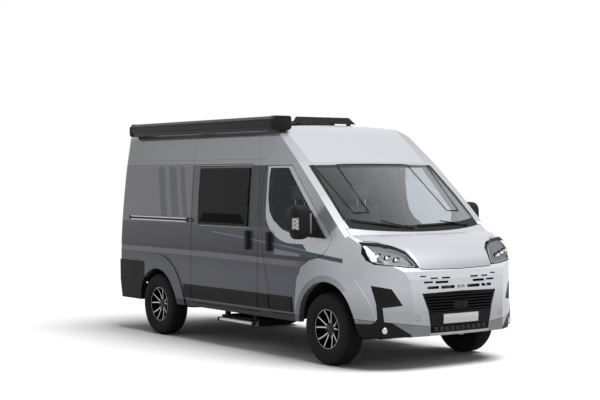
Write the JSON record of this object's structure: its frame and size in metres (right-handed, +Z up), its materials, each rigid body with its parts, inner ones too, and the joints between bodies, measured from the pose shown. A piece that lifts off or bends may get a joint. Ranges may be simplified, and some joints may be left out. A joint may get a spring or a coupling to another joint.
{
  "type": "camper van",
  "caption": "High-roof panel van fitted out as a camper, with sliding side door, awning, hinged doors and bonnet, steered front wheels and rolling wheels.",
  "frame": {"origin": "on the ground, midway along the length and the width", "axes": "+X forward, +Y to the vehicle's left, +Z up"},
  "size_m": [5.413, 2.576, 2.621],
  "materials": {
    "paint_silver": "gloss",
    "paint_grey": "gloss",
    "black_plastic": "matte",
    "glass": "gloss",
    "dark_acrylic": "gloss",
    "lamp_lens": "gloss",
    "tail_lens": "gloss",
    "tyre": "matte",
    "rim": "gloss",
    "steel": "satin",
    "cast_iron": "matte",
    "aluminium": "satin",
    "interior_plastic": "matte",
    "fabric": "matte",
    "wood": "satin",
    "plate_white": "satin"
  },
  "bodies": {
    "body": {"underbody": "steel", "front_rails": "steel", "wheel_housings": "black_plastic", "engine_block": "cast_iron", "radiator": "black_plastic", "exhaust": "steel", "fuel_tank": "black_plastic", "front_suspension": "steel", "rear_axle": "steel", "side_panel_right": "paint_grey", "side_panel_left": "paint_grey", "sliding_door": "paint_grey", "camper_windows": "dark_acrylic", "roof_panel": "paint_silver", "cab_frame": "paint_silver", "windscreen": "glass", "front_wings": "paint_silver", "scuttle_panel": "black_plastic", "headlamps": "lamp_lens", "front_bumper": "paint_silver", "bumper_corners": "black_plastic", "grille": "black_plastic", "rear_bumper": "black_plastic", "tail_lamps": "tail_lens", "side_trims": "black_plastic", "bulkhead": "steel", "dashboard": "interior_plastic", "cab_seats": "fabric", "furniture": "wood", "cushions": "fabric", "awning": "black_plastic", "skylights": "dark_acrylic", "wind_deflector": "black_plastic", "step_housing": "steel", "number_plate": "plate_white"},
    "entry_step": {"entry_step": "aluminium"},
    "bonnet": {"bonnet": "paint_silver"},
    "front_door_right": {"front_door_right": "paint_silver", "door_glass_right": "glass", "door_trim_right": "black_plastic"},
    "front_door_left": {"front_door_left": "paint_silver", "door_glass_left": "glass", "door_trim_left": "black_plastic"},
    "mirror_right": {"mirror_right": "black_plastic"},
    "mirror_left": {"mirror_left": "black_plastic"},
    "rear_door_right": {"rear_door_right": "paint_grey", "rear_glass_right": "glass"},
    "rear_door_left": {"rear_door_left": "paint_grey", "rear_glass_left": "glass"},
    "steering_wheel": {"steering_wheel": "interior_plastic"},
    "knuckle_left": {"knuckle_left": "cast_iron"},
    "knuckle_right": {"knuckle_right": "cast_iron"},
    "wheel_front_left": {"tyre_front_left": "tyre", "rim_front_left": "rim"},
    "wheel_front_right": {"tyre_front_right": "tyre", "rim_front_right": "rim"},
    "wheel_rear_left": {"tyre_rear_left": "tyre", "rim_rear_left": "rim"},
    "wheel_rear_right": {"tyre_rear_right": "tyre", "rim_rear_right": "rim"}
  },
  "joints": [
    {"name": "steer_left", "type": "hinge", "parent": "body", "child": "knuckle_left", "pos_m": [1.7585, 0.78, 0.372], "axis": [0, 0, 1], "range_deg": [-35, 35]},
    {"name": "steer_right", "type": "hinge", "parent": "body", "child": "knuckle_right", "pos_m": [1.7585, -0.78, 0.372], "axis": [0, 0, 1], "range_deg": [-35, 35]},
    {"name": "steering_wheel_turn", "type": "hinge", "parent": "body", "child": "steering_wheel", "pos_m": [1.29, 0.44, 1.29], "axis": [-0.5592, 0, 0.829], "range_deg": [-525, 525]},
    {"name": "roll_front_left", "type": "hinge", "parent": "knuckle_left", "child": "wheel_front_left", "pos_m": [1.7585, 0.905, 0.372], "axis": [0, 1, 0], "continuous": true},
    {"name": "roll_front_right", "type": "hinge", "parent": "knuckle_right", "child": "wheel_front_right", "pos_m": [1.7585, -0.905, 0.372], "axis": [0, 1, 0], "continuous": true},
    {"name": "roll_rear_left", "type": "hinge", "parent": "body", "child": "wheel_rear_left", "pos_m": [-1.6915, 0.895, 0.372], "axis": [0, 1, 0], "continuous": true},
    {"name": "roll_rear_right", "type": "hinge", "parent": "body", "child": "wheel_rear_right", "pos_m": [-1.6915, -0.895, 0.372], "axis": [0, 1, 0], "continuous": true},
    {"name": "bonnet_lift", "type": "hinge", "parent": "body", "child": "bonnet", "pos_m": [2.0015, 0, 1.408], "axis": [0, -1, 0], "range_deg": [0, 52]},
    {"name": "front_door_right_swing", "type": "hinge", "parent": "body", "child": "front_door_right", "pos_m": [1.8525, -0.997, 1], "axis": [0, 0, 1], "range_deg": [0, 70]},
    {"name": "front_door_left_swing", "type": "hinge", "parent": "body", "child": "front_door_left", "pos_m": [1.8525, 0.997, 1], "axis": [0, 0, -1], "range_deg": [0, 70]},
    {"name": "mirror_right_fold", "type": "hinge", "parent": "front_door_right", "child": "mirror_right", "pos_m": [1.5535, -1.046, 1.45], "axis": [0, 0, -1], "range_deg": [0, 55]},
    {"name": "mirror_left_fold", "type": "hinge", "parent": "front_door_left", "child": "mirror_left", "pos_m": [1.5535, 1.046, 1.45], "axis": [0, 0, 1], "range_deg": [0, 55]},
    {"name": "rear_door_right_swing", "type": "hinge", "parent": "body", "child": "rear_door_right", "pos_m": [-2.697, -0.886, 1.4], "axis": [0, 0, 1], "range_deg": [0, 180]},
    {"name": "rear_door_left_swing", "type": "hinge", "parent": "body", "child": "rear_door_left", "pos_m": [-2.697, 0.886, 1.4], "axis": [0, 0, -1], "range_deg": [0, 180]},
    {"name": "entry_step_slide", "type": "slide", "parent": "body", "child": "entry_step", "axis": [0, -1, 0], "range_m": [0, 0.2]}
  ],
  "couplings": [
    {"joint": "steer_right", "follows": "steer_left", "ratio": 1},
    {"joint": "steering_wheel_turn", "follows": "steer_left", "ratio": 15}
  ]
}
